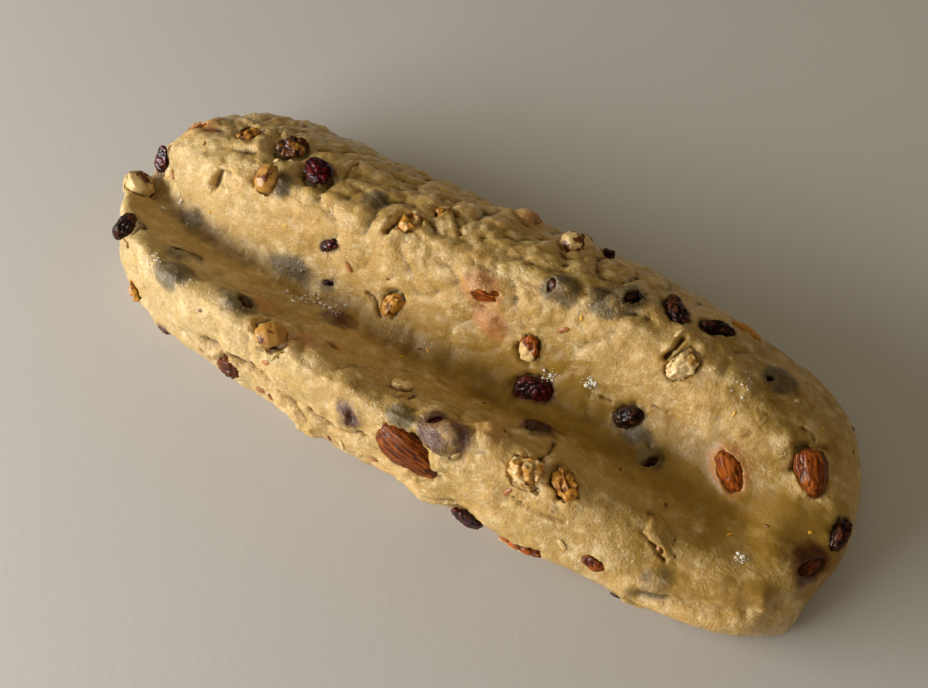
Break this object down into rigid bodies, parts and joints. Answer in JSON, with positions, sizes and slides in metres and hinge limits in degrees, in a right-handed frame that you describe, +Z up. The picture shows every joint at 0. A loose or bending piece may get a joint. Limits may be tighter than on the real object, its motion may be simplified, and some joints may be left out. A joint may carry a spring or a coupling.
{
  "type": "unbaked stollen loaf",
  "caption": "Long shaped loaf of raw fruit dough with a pressed lengthwise groove between a narrow low ridge and a broad high one, dried fruit and nuts set in its skin.",
  "frame": {"origin": "on the table under the middle of the loaf, in the plane of its flat underside", "axes": "+X along the loaf, +Y across it towards the broad high ridge, +Z up; the narrow low ridge lies at -Y"},
  "size_m": [0.2821, 0.1133, 0.0514],
  "materials": {
    "dough": "raw enriched yeast dough: soft, pale golden, a buttery half-gloss skin with fine bubbles and small tears",
    "raisin": "dried grape skin: near black to maroon brown, wrinkled, with a moist sheen",
    "cranberry": "dried cranberry: deep maroon red, wrinkled and moist, dusted with flour in places",
    "almond": "almond with its ridged reddish-brown skin, moist where the dough touched it, cream where cut",
    "hazelnut": "blanched and half-skinned hazelnut: pale tan, smooth, red-brown skin in places",
    "walnut": "broken walnut kernel: golden-brown lobed skin and pale cut faces",
    "peel": "candied orange peel: translucent orange gold with a wet shine"
  },
  "bodies": {
    "root": {"almond_01": "almond", "almond_02": "almond", "almond_03": "almond", "almond_04": "almond", "almond_05": "almond", "almond_06": "almond", "almond_chip_01": "almond", "almond_chip_02": "almond", "almond_chip_03": "almond", "almond_chip_04": "almond", "almond_chip_05": "almond", "cranberry_01": "cranberry", "cranberry_02": "cranberry", "cranberry_03": "cranberry", "cranberry_04": "cranberry", "cranberry_05": "cranberry", "cranberry_06": "cranberry", "cranberry_07": "cranberry", "cranberry_08": "cranberry", "cranberry_09": "cranberry", "dough": "dough", "hazelnut_01": "hazelnut", "hazelnut_02": "hazelnut", "hazelnut_03": "hazelnut", "hazelnut_04": "hazelnut", "hazelnut_05": "hazelnut", "hazelnut_06": "hazelnut", "peel_01": "peel", "raisin_01": "raisin", "raisin_02": "raisin", "raisin_03": "raisin", "raisin_04": "raisin", "raisin_05": "raisin", "raisin_06": "raisin", "raisin_07": "raisin", "raisin_08": "raisin", "raisin_09": "raisin", "raisin_10": "raisin", "raisin_11": "raisin", "raisin_12": "raisin", "raisin_13": "raisin", "walnut_01": "walnut", "walnut_02": "walnut", "walnut_03": "walnut", "walnut_04": "walnut", "walnut_05": "walnut", "walnut_06": "walnut", "walnut_07": "walnut", "walnut_08": "walnut", "walnut_09": "walnut", "walnut_10": "walnut", "walnut_chip_01": "walnut"}
  },
  "joints": []
}
